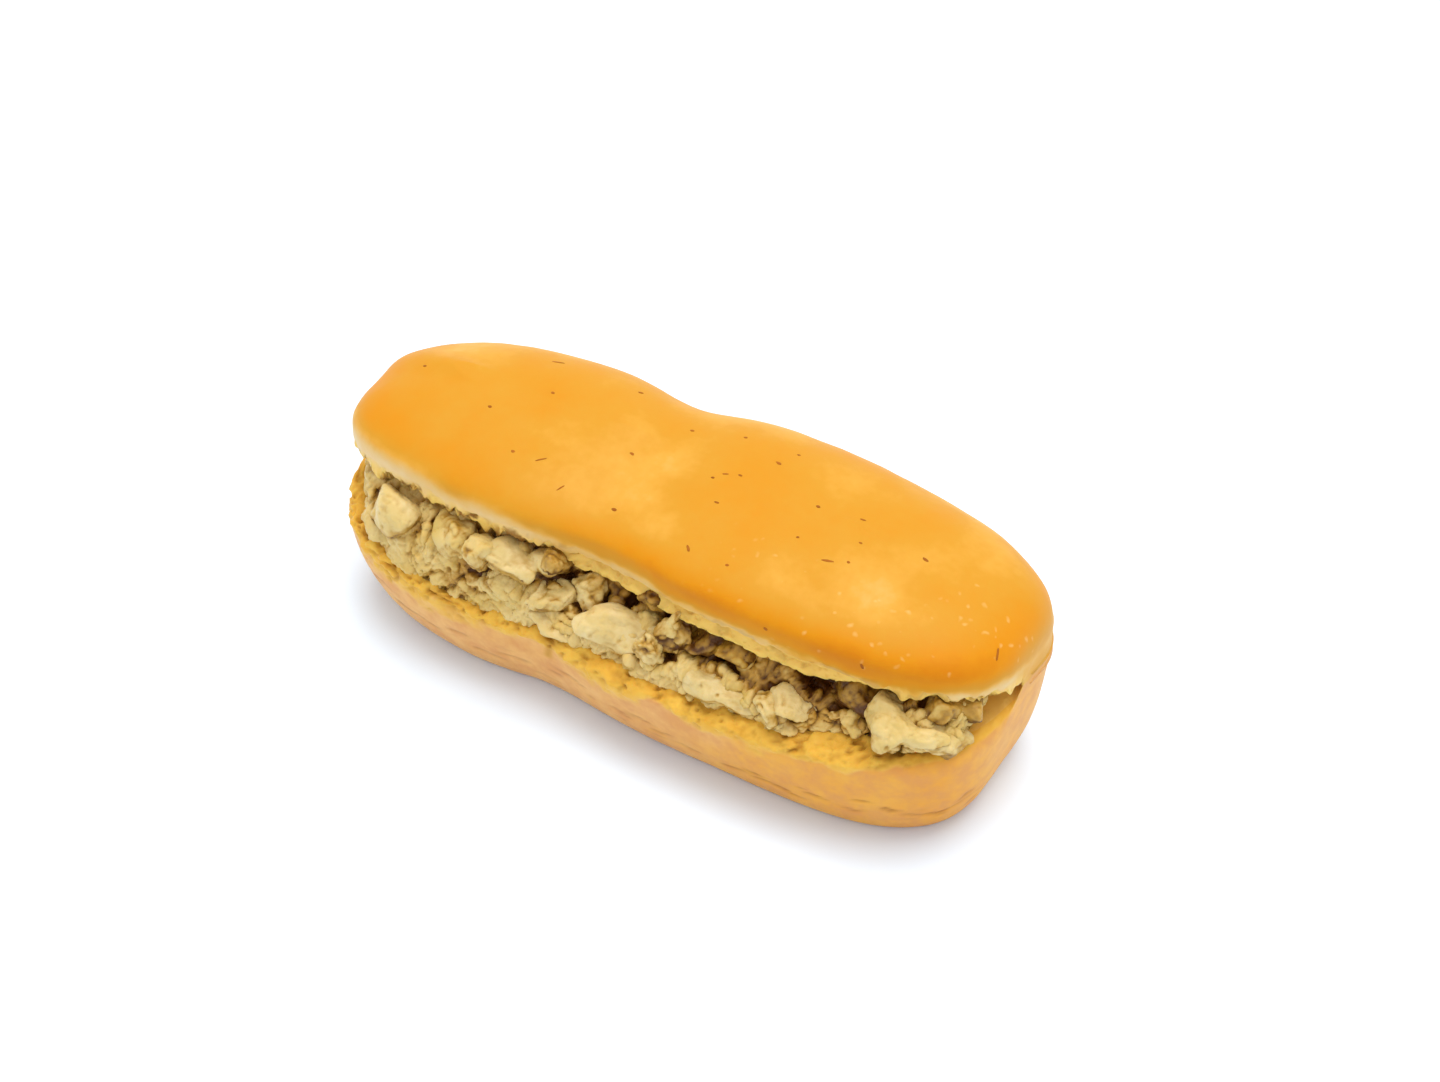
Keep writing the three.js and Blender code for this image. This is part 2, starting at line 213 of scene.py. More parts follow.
def bread_rings():
    """The skin of the bread as a stack of closed rings: underside, side of the heel, its rounded rim,
    its cut face to the root, the crown's cut face back out, its torn lip, its edge, side and dome.
    Rings of torn crumb have three points for each one of the others. Returns a list of
    (lines, zone, points) with, for each ring, the zone it lies in."""
    coarse = Lines(np.arange(COLUMNS) * 360 / COLUMNS)
    fine = Lines(np.arange(3 * COLUMNS) * 120 / COLUMNS)
    rings = []

    def add(lines, zone, points):
        rings.append((lines, zone, points))

    def rim_round(lines):
        down = np.interp(lines.bearing, RIM_AT, RIM_DOWN)[:, None]
        back = np.interp(lines.bearing, RIM_AT, RIM_BACK)[:, None]
        return lines.open * down, np.minimum(0.5, back / lines.run.clip(0.1)) * lines.open

    add(coarse, "base", np.stack([coarse.ridge_x, coarse.spine, 0 * coarse.spine], -1))
    for level in np.linspace(0, 1, 34) ** 1.3 * 0.72:
        top = 1 - rim_round(coarse)[0][:, 0] / coarse.rim[:, 2]
        add(coarse, "heel", coarse.heel_side(level * top))
    down, back = rim_round(fine)
    top = 1 - down[:, 0] / fine.rim[:, 2]
    for level in np.linspace(0.74, 1, 13):
        add(fine, "heel", fine.heel_side(level * top))
    start, end = fine.heel_side(top), cut_face(fine.bearing, back[:, 0], -1)
    for t in np.linspace(0, 1, 14)[1:]:
        add(fine, "rim", (1 - t) ** 2 * start + 2 * t * (1 - t) * fine.rim + t ** 2 * end)
    for t in np.linspace(0, 0.28, 13)[1:]:
        add(fine, "heel_cut", cut_face(fine.bearing, mix(back[:, 0], 1, t), -1))
    back = rim_round(coarse)[1]
    for t in np.linspace(0.3, 1, 12):
        add(coarse, "heel_cut", cut_face(coarse.bearing, mix(back[:, 0], 1, t), -1))
    ceiling = np.array([0, 0, ROOT_GAP / 2])
    for t in np.linspace(1, 0.3, 12):
        add(coarse, "crown_cut", mix(coarse.lip, coarse.root + ceiling, t))
    for t in np.linspace(0.26, 0, 10) ** 1.2:
        add(fine, "crown_cut", mix(fine.lip, fine.root + ceiling, t))
    for t in np.linspace(0, 1, 9)[1:]:
        add(fine, "lip", mix(fine.lip, fine.gutter, t))
    for angle in np.linspace(0, np.pi / 2, 15)[1:]:
        out, rise = np.sin(angle), 1 - np.cos(angle)
        start = mix(fine.gutter, fine.foot, min(1, out * 3))
        height = mix(start[:, 2], fine.edge[:, 2] + CROWN_BAND, rise)
        flat = mix(start[:, :2], fine.edge[:, :2], out)
        add(fine, "crown", np.column_stack([flat, height]))
    for angle in np.linspace(0, np.pi / 2, 56)[1:-1]:
        inset = 1 - np.cos(angle) ** (2 / CROWN_POWER)
        rise = np.sin(angle) ** (2 / CROWN_POWER)
        lines = fine if angle < 0.12 else coarse
        add(lines, "crown", np.stack([
            lines.crown_x * (1 - inset * ROUND_IN), lines.crown_y * (1 - inset) + lines.spine,
            mix(lines.edge[:, 2] + CROWN_BAND, TOP_HEIGHT - lines.dip, rise)], -1))
    add(coarse, "crown", np.stack([coarse.ridge_x, coarse.spine, TOP_HEIGHT - coarse.dip], -1))
    return rings


def curds(points, size, seed):
    """Irregular soft lumps with sharp creases between them, from 0 in a crease to about 1: the root of
    the absolute value of noise at three scales, in a space that other noise has bent."""
    bent = points + 0.45 * size * np.stack([noise(points, size * 1.4, seed + k) for k in range(3)], -1)
    total = np.zeros(len(points))
    for k in range(3):
        total += np.sqrt(np.abs(noise(bent @ TWIST, size / 1.9 ** k, seed + 5 + k))) * 0.5 ** k
    return total / 1.3


def sponge(points, size, seed):
    """Torn crumb: uneven bumps, about -1 to 1, with round holes broken into them."""
    holes = smooth(noise(points @ TWIST, size * 0.55, seed + 3) * 2.4 - 0.7)
    return 0.8 * rough(points, size, seed, 3) - 0.9 * holes


def set_skin(piece, points, values):
    """Gives a piece its points, in millimetres, and named per-point values."""
    piece.data.vertices.foreach_set("co", (points * MM).ravel())
    for label, value in values.items():
        layer = piece.data.attributes.new(label, "FLOAT", "POINT")
        layer.data.foreach_set("value", value.astype(np.float32))
    piece.data.shade_smooth()


def mesh_piece(name, points, faces):
    """A smooth mesh object from points in millimetres and a list of faces."""
    mesh = bpy.data.meshes.new(name)
    mesh.from_pydata((points * MM).tolist(), [], faces)
    mesh.shade_smooth()
    piece = bpy.data.objects.new(name, mesh)
    bpy.context.collection.objects.link(piece)
    return piece


def make_bread():
    """Lays the rings out as one closed mesh, whose first and last ring are folded onto the spine. Then
    point + normal * (swell + skin - cracks + torn crumb - scoop): slow swells and a fine skin over the
    crust, wrinkles near the foot, lumps and pits of torn crumb on the rim, the cut faces and the lip,
    and a scoop in the heel's cut face. Last, the crown's lower edge is torn up and down."""
    rings = bread_rings()
    ends = np.cumsum([len(points) for _, _, points in rings])
    index = np.split(np.arange(ends[-1]), ends[:-1])
    folded = np.minimum(np.arange(COLUMNS), COLUMNS - np.arange(COLUMNS))
    index[0], index[-1] = index[0][folded], index[-1][folded]
    used, numbers = np.unique(np.concatenate(index), return_inverse=True)
    index = np.split(numbers, ends[:-1])
    faces = []
    for low, high in zip(index[:-1], index[1:]):
        if len(low) == len(high):
            loop = [low, np.roll(low, -1), np.roll(high, -1), high]
        elif len(low) < len(high):
            loop = [low, np.roll(low, -1), np.roll(high[::3], -1), high[2::3], high[1::3], high[::3]]
        else:
            loop = [low[::3], low[1::3], low[2::3], np.roll(low[::3], -1), np.roll(high, -1), high]
        faces += np.stack(loop, -1).tolist()
    points = np.concatenate([ring for _, _, ring in rings])[used]
    zone = np.concatenate([np.full(len(ring), name) for _, name, ring in rings])[used]
    around = np.concatenate([lines.bearing for lines, _, _ in rings])[used]
    piece = mesh_piece("bread", points, faces)
    normal = np.empty(points.size)
    piece.data.vertex_normals.foreach_get("vector", normal)
    normal = normal.reshape(-1, 3)

    # How far up the crown each point lies, along its surface from the lower edge.
    up, past = np.zeros(len(points)), 0
    for number in range(1, len(rings)):
        if rings[number][1] == "crown" and rings[number - 1][1] == "crown":
            here, before = rings[number][2], rings[number - 1][2]
            if len(here) < len(before):
                before, past = before[::3], past[::3]
            past = past + np.linalg.norm(here - before, axis=1)
            up[index[number]] = past
    open_here = opening(around)
    rim = heel_rim(around)
    below_rim = np.where(np.isin(zone, ["heel", "rim"]), rim[:, 2] - points[:, 2], 99)
    inside = np.isin(zone, ["heel_cut", "crown_cut"]) * open_here
    torn_rim = np.interp(around, [195, 212, 312, 326], [0.15, 1, 1, 0.12])
    reach = np.interp(around, [150, 205, 235, 256, 264, 300, 322, 345],
                      [0.5, 4.4, 4.6, 2.8, 3.4, 3.4, 0.8, 0.4])
    reach = reach * (1 + 0.7 * noise(points, 5.0, 61) + 0.35 * noise(points, 2.0, 63))
    soaked = smooth(1.5 - below_rim / reach.clip(0.4)) * open_here * (below_rim < 50)
    torn_band = np.interp(around, [205, 225, 250, 258, 306, 314, 345, 362],
                          [2.4, 4.2, 3.6, 1.4, 1.4, 3.4, 3.4, 1.8])
    lip = np.maximum(zone == "lip", (zone == "crown") * smooth(1.4 - up / torn_band)) * open_here
    torn_cut = inside * np.where(zone == "heel_cut", torn_rim, 1)
    crumb = np.maximum.reduce([soaked * torn_rim, torn_cut, lip])
    lip_depth = np.interp(around, [205, 222, 248, 257, 306, 318], [0.6, 1.0, 0.9, 0.15, 0.15, 0.8])
    rim_depth = np.interp(around, [205, 222, 252, 264], [1, 1.5, 1.5, 1])
    depth = np.select([np.isin(zone, ["lip", "crown"]), zone == "crown_cut", zone == "rim"],
                      [lip_depth, 0.5, rim_depth], 1.0)
    torn = crumb * depth * (0.75 * sponge(points, 2.6, 31) + 0.45 * noise(points, 4.6, 37)
                            + 0.35 * noise(points @ TWIST, 1.0, 39))
    torn += crumb * (zone == "rim") * smooth((252 - around) / 20) * 0.9 * noise(points, 3.4, 41)
    end_bulge = 1.2 * np.exp(-(((around - 172) / 13) ** 2)) * (zone == "crown") * smooth(up / 6)
    swell = 0.35 * rough(points, 26.0, 3, 3) - 0.25 + end_bulge
    skin = 0.05 * noise(points, 3.4, 9) + 0.07 * noise(points, 7.5, 10)
    cracks = np.zeros(len(points))
    for height, seed in ((7.4, 21), (9.6, 23), (12.0, 25)):
        level = height + 1.5 * noise(points * [1, 1, 0], 8.0, seed) + 1.1 * noise(points, 3.0, seed)
        here = smooth(noise(points * [1, 1, 0.3], 4.5, seed + 1) * 2.5 - 0.15 * (height - 9))
        cracks = np.maximum(cracks, np.exp(-(((points[:, 2] - level) / 0.45) ** 2)) * here)
    cracks *= (zone == "heel") * np.interp(around, [190, 205, 240, 285, 300, 330, 345],
                                           [0, 1, 0.5, 0.6, 1, 1, 0])
    # The heel's cut face is scooped out in front of the last piece of chicken; painted shade darkens
    # the scoop.
    behind = np.linalg.norm((points - rim)[:, :2], axis=1)
    scoop = np.exp(-(((around - 316) / 6) ** 2) - ((behind - 6.5) / 2.6) ** 2)
    scoop *= np.isin(zone, ["rim", "heel_cut"])
    lift = swell + skin - 0.4 * cracks + torn - 1.3 * scoop
    rests = smooth(points[:, 2] / 1.2)
    points = points + normal * (lift * np.where(zone == "base", 0, rests))[:, None]
    ragged = np.maximum(zone == "lip", (zone == "crown") * smooth(1.5 - up / 4.0)) * open_here
    tear = 0.9 * noise(points, 3.2, 91) + 1.5 * (0.3 - np.abs(noise(points @ TWIST, 2.0, 93)))
    tear *= np.interp(around, [205, 222, 254, 262, 306, 316, 345], [1, 2.0, 2.0, 0.5, 0.6, 1.9, 1.7])
    points[:, 2] += ragged * (tear + 0.2)
    low, high = np.array(cad_box[0]) / MM, np.array(cad_box[1]) / MM
    points = np.clip(points, low + 0.02, high - 0.11)
    points[zone == "base", 2] = 0

    # Browning: 0 pale, 0.5 golden, 1 deep orange. Pale dough shows at the foot of the crown, where its
    # neighbours in the tray shaded it, and the shoulder above it is the darkest.
    pale_reach = np.interp(around, [150, 205, 232, 245, 257, 266, 295, 305, 315, 325, 340, 360],
                           [4, 13, 11.5, 9, 6, 4.2, 3.8, 3.2, 4, 6.5, 7.5, 4])
    palest = np.interp(around, [150, 205, 228, 245, 262, 305, 315, 325, 345, 360],
                       [0.3, 0.1, 0.04, 0.2, 0.2, 0.2, 0.2, 0.1, 0.1, 0.3])
    dark = np.interp(around, [0, 20, 60, 140, 200, 245, 258, 275, 295, 315, 328, 345, 360],
                     [0.25, 0.15, 0.12, 0.14, 0.18, 0.12, 0.2, 0.33, 0.36, 0.45, 0.4, 0.36, 0.25])
    peak = np.interp(around, [0, 150, 235, 246, 275, 300, 315, 326, 345, 360],
                     [11, 14, 14, 9, 6.5, 5.5, 7, 9.5, 10, 11])
    wander = 1.1 * noise(points, 9.0, 51) + 0.5 * noise(points, 2.6, 52)
    past = up - 1.5 + wander
    bake = mix(palest, 0.5, smooth((past - 0.35 * pale_reach) / (0.65 * pale_reach)))
    above = np.interp(around, [0, 235, 260, 295, 312, 360], [6.5, 6, 4.2, 4.2, 6, 6.5])
    spread = np.where(past > peak, above, 3.6)
    bake += dark * np.exp(-(((past - peak) / spread) ** 2)) + 0.16 * rough(points, 19.0, 53, 3)
    bake = mix(np.full(len(up), 0.38), bake, np.maximum(open_here, smooth(up / 8)))
    heel_bake = np.interp(around, [0, 60, 120, 180, 205, 250, 280, 296, 325, 340, 360],
                          [0.5, 0.4, 0.4, 0.2, 0.0, 0.2, 0.28, 0.6, 0.85, 0.6, 0.5])
    bake = np.where(np.isin(zone, ["heel", "rim"]), heel_bake + 0.16 * rough(points, 9.0, 55, 3), bake)

    # Dressing soaked into the rim and the cut face, with one drip down the side.
    drip = np.exp(-(((points[:, 0] + 15.5 + 0.25 * below_rim) / 1.1) ** 2))
    drip *= smooth((7 - below_rim) / 2)
    stain = np.maximum(soaked, 0.8 * drip * open_here)
    stain = np.where(inside > 0.2, np.interp(around, [314, 332], [1.0, 0.65]), stain)
    stain = np.where(zone == "crown_cut", 0.35, stain)

    # The torn edge is browned in places, and pale blisters dot the shoulder on the right.
    scorch = ragged * smooth(noise(points @ TWIST, 2.2, 95) * 6 - 1.1)
    scorch *= smooth((4.0 + 1.6 * noise(points, 1.8, 97) - up) / 0.8)
    scorch *= np.interp(around, [205, 218, 232, 256, 262, 300, 345], [0.2, 0.6, 1, 1, 0.1, 0.3, 0.4])
    blister = smooth((points[:, 0] - 8) / 30) * smooth((16 - np.abs(up - 17)) / 10) * (zone == "crown")
    blister = blister * (np.sin(np.radians(around)) < 0)
    set_skin(piece, points, {
        "bake": bake, "stain": stain, "groove": cracks, "blister": blister, "scorch": scorch,
        "cut": np.maximum(crumb, inside * np.interp(around, [314, 332], [1.0, 0.4])),
        "heel": np.isin(zone, ["heel", "rim", "heel_cut"]) * 1.0,
        # Painted shade in the pits of the torn crumb and in the scoop, plus the drip's darker brown, a
        # real stain.
        "painted_shade_and_drip": np.clip(-1.1 * torn - 0.1 + 0.7 * scoop + 0.9 * drip * open_here, 0, 1)})
    return piece


def linear(red, green, blue):
    """An sRGB colour, 0 to 255, as the linear colour that a shader takes."""
    value = np.array([red, green, blue]) / 255
    value = np.where(value <= 0.04045, value / 12.92, ((value + 0.055) / 1.055) ** 2.4)
    return (*value.tolist(), 1.0)


def node_group(name, inputs, outputs):
    """An empty shader node group with number sockets; returns it with its input and output nodes."""
    group = bpy.data.node_groups.new(name, "ShaderNodeTree")
    for label, default in inputs.items():
        socket = group.interface.new_socket(label, in_out="INPUT", socket_type="NodeSocketFloat")
        socket.default_value = default
    for label in outputs:
        group.interface.new_socket(label, in_out="OUTPUT", socket_type="NodeSocketFloat")
    return group, group.nodes.new("NodeGroupInput"), group.nodes.new("NodeGroupOutput")


class Tree:
    """A node tree, with short ways to add the nodes that the groups and finishes here use."""

    def __init__(self, tree):
        self.nodes = tree.nodes
        self.links = tree.links

    def plug(self, socket, value):
        if isinstance(value, (int, float, tuple)):
            socket.default_value = value
        else:
            self.links.new(value, socket)

    def attribute(self, name):
        node = self.nodes.new("ShaderNodeAttribute")
        node.attribute_name = name
        return node.outputs["Fac"]

    def group(self, group, **inputs):
        node = self.nodes.new("ShaderNodeGroup")
        node.node_tree = group
        for name, value in inputs.items():
            node.inputs[name].default_value = value
        return node

    def math(self, operation, a, b=0.0, c=0.0, clamp=False):
        node = self.nodes.new("ShaderNodeMath")
        node.operation = operation
        node.use_clamp = clamp
        for socket, value in zip(node.inputs, (a, b, c)):
            self.plug(socket, value)
        return node.outputs[0]

    def ramp(self, value, stops):
        node = self.nodes.new("ShaderNodeValToRGB")
        for _ in range(len(stops) - 2):
            node.color_ramp.elements.new(0.5)
        for element, (place, colour) in zip(node.color_ramp.elements, stops):
            element.position = place
            element.color = colour
        self.links.new(value, node.inputs["Fac"])
        return node.outputs["Color"]

    def blend(self, share, first, second, kind="MIX"):
        node = self.nodes.new("ShaderNodeMix")
        node.data_type = "RGBA"
        node.blend_type = kind
        sockets = [s for s in node.inputs if s.enabled]
        for socket, value in zip(sockets, (share, first, second)):
            self.plug(socket, value)
        return next(s for s in node.outputs if s.enabled)

    def bump(self, height, distance, strength, before=None):
        node = self.nodes.new("ShaderNodeBump")
        node.inputs["Distance"].default_value = distance
        node.inputs["Strength"].default_value = strength
        self.links.new(height, node.inputs["Height"])
        if before is not None:
            self.links.new(before, node.inputs["Normal"])
        return node.outputs["Normal"]

    def noise(self, place, scale, detail):
        node = self.nodes.new("ShaderNodeTexNoise")
        node.inputs["Detail"].default_value = detail
        self.links.new(place, node.inputs["Vector"])
        self.plug(node.inputs["Scale"], scale)
        return node


class Shader(Tree):
    """A material with its node tree and its surface node."""

    def __init__(self, name):
        self.material = bpy.data.materials.new(name)
        self.material.use_nodes = True
        super().__init__(self.material.node_tree)
        self.surface = self.nodes["Principled BSDF"]

    def finish(self, colour, roughness, shine, normal=None):
        self.links.new(colour, self.surface.inputs["Base Color"])
        self.surface.inputs["Roughness"].default_value = roughness
        self.surface.inputs["Specular IOR Level"].default_value = shine
        if normal is not None:
            self.links.new(normal, self.surface.inputs["Normal"])
        return self.material

    def flesh(self, weight, radius, scale):
        self.surface.inputs["Subsurface Weight"].default_value = weight
        self.surface.inputs["Subsurface Radius"].default_value = radius
        self.surface.inputs["Subsurface Scale"].default_value = scale


def make_mottle_group():
    """Uneven colour: a coarse and a fine noise over object space, added and spread around 0.5."""
    group, given, out = node_group("mottle", {"Coarse": 60.0, "Fine": 400.0, "Contrast": 1.0}, ["Mask"])
    t = Tree(group)
    place = t.nodes.new("ShaderNodeTexCoord").outputs["Object"]
    coarse = t.noise(place, given.outputs["Coarse"], 4).outputs["Fac"]
    fine = t.noise(place, given.outputs["Fine"], 3).outputs["Fac"]
    centred = t.math("SUBTRACT", t.math("MULTIPLY_ADD", fine, 0.35, coarse), 0.675)
    mask = t.math("MULTIPLY_ADD", centred, given.outputs["Contrast"], 0.5, clamp=True)
    t.links.new(mask, out.inputs["Mask"])
    return group


def make_pores_group():
    """Small holes: rounded cells of a Voronoi pattern as a mask, and their depth as a height."""
    group, given, out = node_group("pores", {"Scale": 700.0, "Size": 0.35}, ["Mask", "Height"])
    t = Tree(group)
    place = t.nodes.new("ShaderNodeTexCoord").outputs["Object"]
    push = t.nodes.new("ShaderNodeVectorMath")
    push.operation = "MULTIPLY_ADD"
    push.inputs[1].default_value = (0.003, 0.003, 0.003)
    t.links.new(t.noise(place, 260, 2).outputs["Color"], push.inputs[0])
    t.links.new(place, push.inputs[2])
    cells = t.nodes.new("ShaderNodeTexVoronoi")
    t.links.new(push.outputs[0], cells.inputs["Vector"])
    t.links.new(given.outputs["Scale"], cells.inputs["Scale"])
    shape = t.nodes.new("ShaderNodeMapRange")
    shape.inputs["From Min"].default_value = 0.0
    shape.inputs["To Min"].default_value = 1.0
    shape.inputs["To Max"].default_value = 0.0
    t.links.new(cells.outputs["Distance"], shape.inputs["Value"])
    t.links.new(given.outputs["Size"], shape.inputs["From Max"])
    t.links.new(shape.outputs["Result"], out.inputs["Mask"])
    t.links.new(t.math("SUBTRACT", 1.0, shape.outputs["Result"]), out.inputs["Height"])
    return group


mottle_group = make_mottle_group()
pores_group = make_pores_group()


def make_bread_finish():
    """Browned crust by the bake attribute, crumb on the cut faces, yellow where dressing soaked in."""
    s = Shader("bread")
    patches = s.group(mottle_group, Coarse=45.0, Fine=420.0, Contrast=1.1).outputs["Mask"]
    shift = s.math("MULTIPLY_ADD", s.math("SUBTRACT", patches, 0.5), 0.36, s.attribute("bake"))
    crown = s.ramp(shift, [
        (0.0, linear(222, 197, 151)), (0.12, linear(219, 185, 128)), (0.25, linear(216, 172, 96)),
        (0.38, linear(211, 154, 56)), (0.5, linear(202, 142, 36)), (0.64, linear(203, 137, 26)),
        (0.82, linear(206, 132, 8)), (1.0, linear(198, 119, 4))])
    heel = s.ramp(shift, [
        (0.0, linear(226, 176, 112)), (0.3, linear(221, 166, 96)), (0.6, linear(224, 163, 70)),
        (1.0, linear(221, 152, 54))])
    flecks = s.group(mottle_group, Coarse=190.0, Fine=800.0, Contrast=3.5).outputs["Mask"]
    heel = s.blend(s.math("MULTIPLY", flecks, 0.6), heel, linear(204, 138, 80))
    crust = s.blend(s.attribute("heel"), crown, heel)
    spots = s.group(pores_group, Scale=330.0, Size=0.22)
    dots = s.math("MULTIPLY", spots.outputs["Mask"], s.attribute("blister"), clamp=True)
    crust = s.blend(s.math("MULTIPLY", dots, 0.5), crust, linear(226, 188, 120))
    crust = s.blend(s.math("MULTIPLY", s.attribute("groove"), 0.7), crust, linear(140, 76, 26))
    # Painted shade in the crumb's pores: the holes are coloured darker as well as dented by the bump.
    holes = s.group(pores_group, Scale=620.0, Size=0.42)
    crumb = s.blend(s.math("MULTIPLY", holes.outputs["Mask"], 0.22), linear(232, 192, 98),
                    linear(200, 150, 62))
    wet = s.group(mottle_group, Coarse=210.0, Fine=900.0, Contrast=2.0).outputs["Mask"]
    yellow = s.blend(wet, linear(228, 180, 68), linear(216, 154, 36))
    colour = s.blend(s.attribute("cut"), crust, crumb)
    colour = s.blend(s.math("MULTIPLY", s.attribute("stain"), 0.8), colour, yellow)
    # Painted shade in the pits of torn crumb and in the heel's scoop, plus the darker brown of the
    # drip.
    colour = s.blend(s.math("MULTIPLY", s.attribute("painted_shade_and_drip"), 0.7), colour, linear(166, 108, 26))
    colour = s.blend(s.math("MULTIPLY", s.attribute("scorch"), 0.85), colour, linear(122, 70, 18))
    s.flesh(0.2, (1.0, 0.45, 0.15), 0.002)
    grain = s.group(mottle_group, Coarse=900.0, Fine=2600.0, Contrast=1.0).outputs["Mask"]
    normal = s.bump(grain, 0.00008, 0.35)
    hole_height = s.math("MULTIPLY", holes.outputs["Height"], s.attribute("cut"))
    return s.finish(colour, 0.5, 0.12, s.bump(hole_height, 0.0003, 0.6, normal))


bread = make_bread()
bread.data.materials.append(make_bread_finish())
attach(bread, "root")
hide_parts("roll")


# ----------------------------------------------------------
# The chopped chicken. Separate pieces of cooked white meat, cut across the grain with a knife and
# coated in dressing, pushed into the slit so that they stand in its mouth. Each replaces one CAD solid.
# ----------------------------------------------------------
def ball(subdivisions):
    """Points and triangles of an icosphere of radius 1."""
    shape = bmesh.new()
    bmesh.ops.create_icosphere(shape, subdivisions=subdivisions, radius=1)
    mesh = bpy.data.meshes.new("ball")
    shape.to_mesh(mesh)
    shape.free()
    points = np.empty(len(mesh.vertices) * 3)
    faces = np.empty(len(mesh.loops), dtype=np.int32)
    mesh.vertices.foreach_get("co", points)
    mesh.loops.foreach_get("vertex_index", faces)
    bpy.data.meshes.remove(mesh)
    return points.reshape(-1, 3), faces.reshape(-1, 3)


def turned(points, turn, lean, roll=0):
    """Points turned about Y by roll, then about X by lean, then about Z by turn, all in degrees."""
    cz, sz = np.cos(np.radians(turn)), np.sin(np.radians(turn))
    cx, sx = np.cos(np.radians(lean)), np.sin(np.radians(lean))
    cy, sy = np.cos(np.radians(roll)), np.sin(np.radians(roll))
    about_z = np.array([[cz, -sz, 0], [sz, cz, 0], [0, 0, 1]])
    about_x = np.array([[1, 0, 0], [0, cx, -sx], [0, sx, cx]])
    about_y = np.array([[cy, 0, sy], [0, 1, 0], [-sy, 0, cy]])
    return points @ about_y.T @ about_x.T @ about_z.T


def fuse(piece, voxel, passes):
    """Joins the closed shapes of a piece into one skin, smooths it, and returns its points and normals
    in millimetres."""
    remesh = piece.modifiers.new("fuse", "REMESH")
    remesh.mode = "VOXEL"
    remesh.voxel_size = voxel * MM
    relax = piece.modifiers.new("relax", "SMOOTH")
    relax.factor = 0.5
    relax.iterations = passes
    shown = piece.evaluated_get(bpy.context.evaluated_depsgraph_get())
    piece.data = bpy.data.meshes.new_from_object(shown)
    piece.modifiers.clear()
    points = np.empty(len(piece.data.vertices) * 3)
    normal = np.empty(len(piece.data.vertices) * 3)
    piece.data.vertices.foreach_get("co", points)
    piece.data.vertex_normals.foreach_get("vector", normal)
    return points.reshape(-1, 3) / MM, normal.reshape(-1, 3)


def chopped(size, turn, lean, roll, seed, facets, ragged):
    """A cut lump of meat: in each direction its radius is the soft minimum of the distances to a few
    cut planes, times a slow noise."""
    directions, faces = ball(4)
    rng = np.random.default_rng(seed)
    planes = rng.normal(size=(facets, 3))
    planes /= np.linalg.norm(planes, axis=1)[:, None]
    offsets = rng.uniform(0.55, 0.85, facets)
    reach = np.clip(directions @ planes.T, 0.02, None) / offsets
    radius = 1.12 * (np.sum(reach ** 18, axis=1) + 0.95 ** 18) ** (-1 / 18)
    radius *= 1 + ragged * rough(directions, 0.7, seed, 3)
    return turned(directions * radius[:, None] * np.array(size) / 2, turn, lean, roll), faces


def make_filling_finish(name, pale, mid, deep, tint):
    """Cooked meat or dressing: cream on the high places, painted shade, olive-brown, in the hollows."""
    s = Shader(name)
    patches = s.group(mottle_group, Coarse=170.0, Fine=900.0, Contrast=2.2).outputs["Mask"]
    base = s.blend(patches, pale, mid)
    base = s.blend(s.attribute("coat"), base, tint)
    # Painted shade: the colour is multiplied towards deep, olive-brown then near black, as its
    # attribute rises.
    shade = s.ramp(s.attribute("painted_shade_and_drip"),
                   [(0.0, (1, 1, 1, 1)), (0.4, (0.72, 0.55, 0.24, 1)), (1.0, deep)])
    base = s.blend(1.0, base, shade, "MULTIPLY")
    s.flesh(0.15, (1.0, 0.6, 0.25), 0.001)
    grain = s.group(mottle_group, Coarse=700.0, Fine=2200.0, Contrast=1.2).outputs["Mask"]
    pits = s.group(pores_group, Scale=420.0, Size=0.3)
    normal = s.bump(pits.outputs["Height"], 0.0004, 0.5, s.bump(grain, 0.0003, 0.6))
    return s.finish(base, 0.42, 0.3, normal)


chicken_finish = make_filling_finish(
    "chicken", linear(221, 199, 144), linear(208, 179, 110), (0.15, 0.068, 0.01, 1),
    linear(200, 168, 82))

MEAT_VOXEL = 0.33
